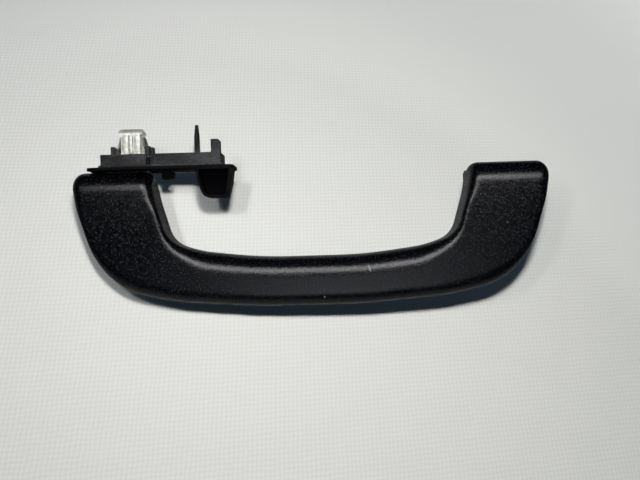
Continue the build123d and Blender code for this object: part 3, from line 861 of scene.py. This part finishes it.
screw_zinc = plain_steel("zinc_plated_screw_steel", "#b9b7ae", 0.32)
shank_radius, groove_radius, head_radius = 0.0012, 0.00095, 0.0024
tip_y, seat_y, head_y = -0.0060, 0.0060, 0.0078
thread_start, thread_pitch, thread_turns = tip_y + 0.0020, 0.0010, 9
slot_half, slot_deep = 0.0004, 0.0008
profile = [(tip_y, 0.0), (tip_y + 0.0002, 0.0003), (tip_y + 0.0016, 0.0010)]
for k in range(thread_turns):
    groove = thread_start + k * thread_pitch
    profile += [(groove, groove_radius), (groove + 0.0004, shank_radius), (groove + 0.0006, shank_radius)]
profile += [(seat_y, shank_radius), (seat_y, head_radius), (seat_y + 0.0007, head_radius),
            (head_y - 0.0005, 0.0022), (head_y - 0.00015, 0.0017), (head_y, 0.0010), (head_y, 0.0)]
screw = turned("screw", profile, lambda along, out, up: (out, along, up))
cut_block(screw, -0.003, 0.003, head_y - slot_deep, head_y + 0.001, -slot_half, slot_half, 30)
boss_places = [(middle_x + side * x, 0, hinge_z - drop) for x, drop in ((0.042, 0.0464), (0.090, 0.0310))
               for side in (-1, 1)]
tree, given = node_tree("piece_on_points", [("Piece", "NodeSocketObject"), ("Size", "NodeSocketFloat"),
                                            ("Finish", "NodeSocketMaterial")])
info = add(tree, "GeometryNodeObjectInfo", {"Object": given.outputs["Piece"]})
stood = add(tree, "GeometryNodeInstanceOnPoints", {
    "Points": given.outputs["Geometry"], "Instance": info.outputs["Geometry"],
    "Scale": given.outputs["Size"]})
real = add(tree, "GeometryNodeRealizeInstances", {"Geometry": stood})
finished = add(tree, "GeometryNodeSetMaterial", {"Geometry": real, "Material": given.outputs["Finish"]})
add(tree, "NodeGroupOutput", {"Geometry": finished})
screws = grown("cover_screw_set", boss_places, [], tree,
               {"Piece": screw, "Size": 1.0, "Finish": screw_zinc}, 30)
bpy.data.objects.remove(screw)
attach(screws, "grip")
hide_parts("cover_screws")


# The return spring is 1.1 mm drawn wire wound round the right pin. One leg bears on the core and the
# other on the inside of the grip's front, so that the bracket stays folded.
tree, given = node_tree("wire_on_path", [("Wire Radius", "NodeSocketFloat"), ("Sides", "NodeSocketInt"),
                                         ("Finish", "NodeSocketMaterial")])
line = add(tree, "GeometryNodeMeshToCurve", {"Mesh": given.outputs["Geometry"]})
section = add(tree, "GeometryNodeCurvePrimitiveCircle", {
    "Resolution": given.outputs["Sides"], "Radius": given.outputs["Wire Radius"]})
tube = add(tree, "GeometryNodeCurveToMesh", {"Curve": line, "Profile Curve": section, "Fill Caps": True})
real = add(tree, "GeometryNodeRealizeInstances", {"Geometry": tube})
finished = add(tree, "GeometryNodeSetMaterial", {"Geometry": real, "Material": given.outputs["Finish"]})
add(tree, "NodeGroupOutput", {"Geometry": finished})

wire_radius, coil_radius, coil_start, coil_length, coil_turns = 0.00055, 0.00285, -0.00795, 0.0098, 7.25
core_leg, front_leg, points_a_turn = 0.0120, 0.0069, 28
wire_line = [(coil_start, -front_leg, hinge_z - coil_radius)]
steps = int(coil_turns * points_a_turn)
for k in range(steps + 1):
    turn = 2 * math.pi * coil_turns * k / steps
    wire_line.append((coil_start + coil_length * k / steps, coil_radius * math.sin(turn),
                      hinge_z - coil_radius * math.cos(turn)))
wire_line.append((coil_start + coil_length, coil_radius, hinge_z + core_leg))
wire_steel = plain_steel("drawn_spring_wire", "#8d8b86", 0.3)
wire_edges = [(k, k + 1) for k in range(len(wire_line) - 1)]
coil = grown("torsion_coil", [to_right @ Vector(point) for point in wire_line], wire_edges, tree,
             {"Wire Radius": wire_radius, "Sides": 12, "Finish": wire_steel}, 60)
face_outwards(coil.data)
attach(coil, "right_bracket")
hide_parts("return_spring")


# The damper is a grease-filled cup of black acetal with its lid and rotor, sealed by a rubber ring, and
# the lugs turn on plain acetal bushes. All of it is hidden between the lugs, so it is finished plainly.
def moulded(name, base, roughness, ior):
    """A plain moulding whose gloss is a little uneven, in clouds of about 3 mm."""
    material, tree = new_material(name)
    place = add(tree, "ShaderNodeTexCoord").outputs["Object"]
    cloud = add(tree, "ShaderNodeTexNoise", {"Vector": place, "Scale": 320.0, "Detail": 3.0})
    gloss = add(tree, "ShaderNodeMapRange", {"Value": cloud, "From Min": 0.3, "From Max": 0.7,
                                             "To Min": roughness - 0.05, "To Max": roughness + 0.08})
    plastic = add(tree, "ShaderNodeBsdfPrincipled", {
        "Base Color": colour(base), "Roughness": gloss, "IOR": ior})
    add(tree, "ShaderNodeOutputMaterial", {"Surface": plastic})
    return material


acetal = moulded("black_acetal", "#141415", 0.3, 1.48)
pale_acetal = moulded("natural_acetal", "#d6d4cb", 0.35, 1.48)
rubber = moulded("nitrile_rubber", "#0c0c0d", 0.6, 1.52)
for name, material in (("damper_housing", acetal), ("damper_lid", acetal), ("damper_rotor", pale_acetal),
                       ("damper_seal", rubber), ("left_lug_bushes", pale_acetal),
                       ("right_lug_bushes", pale_acetal)):
    finish_node(name, material)
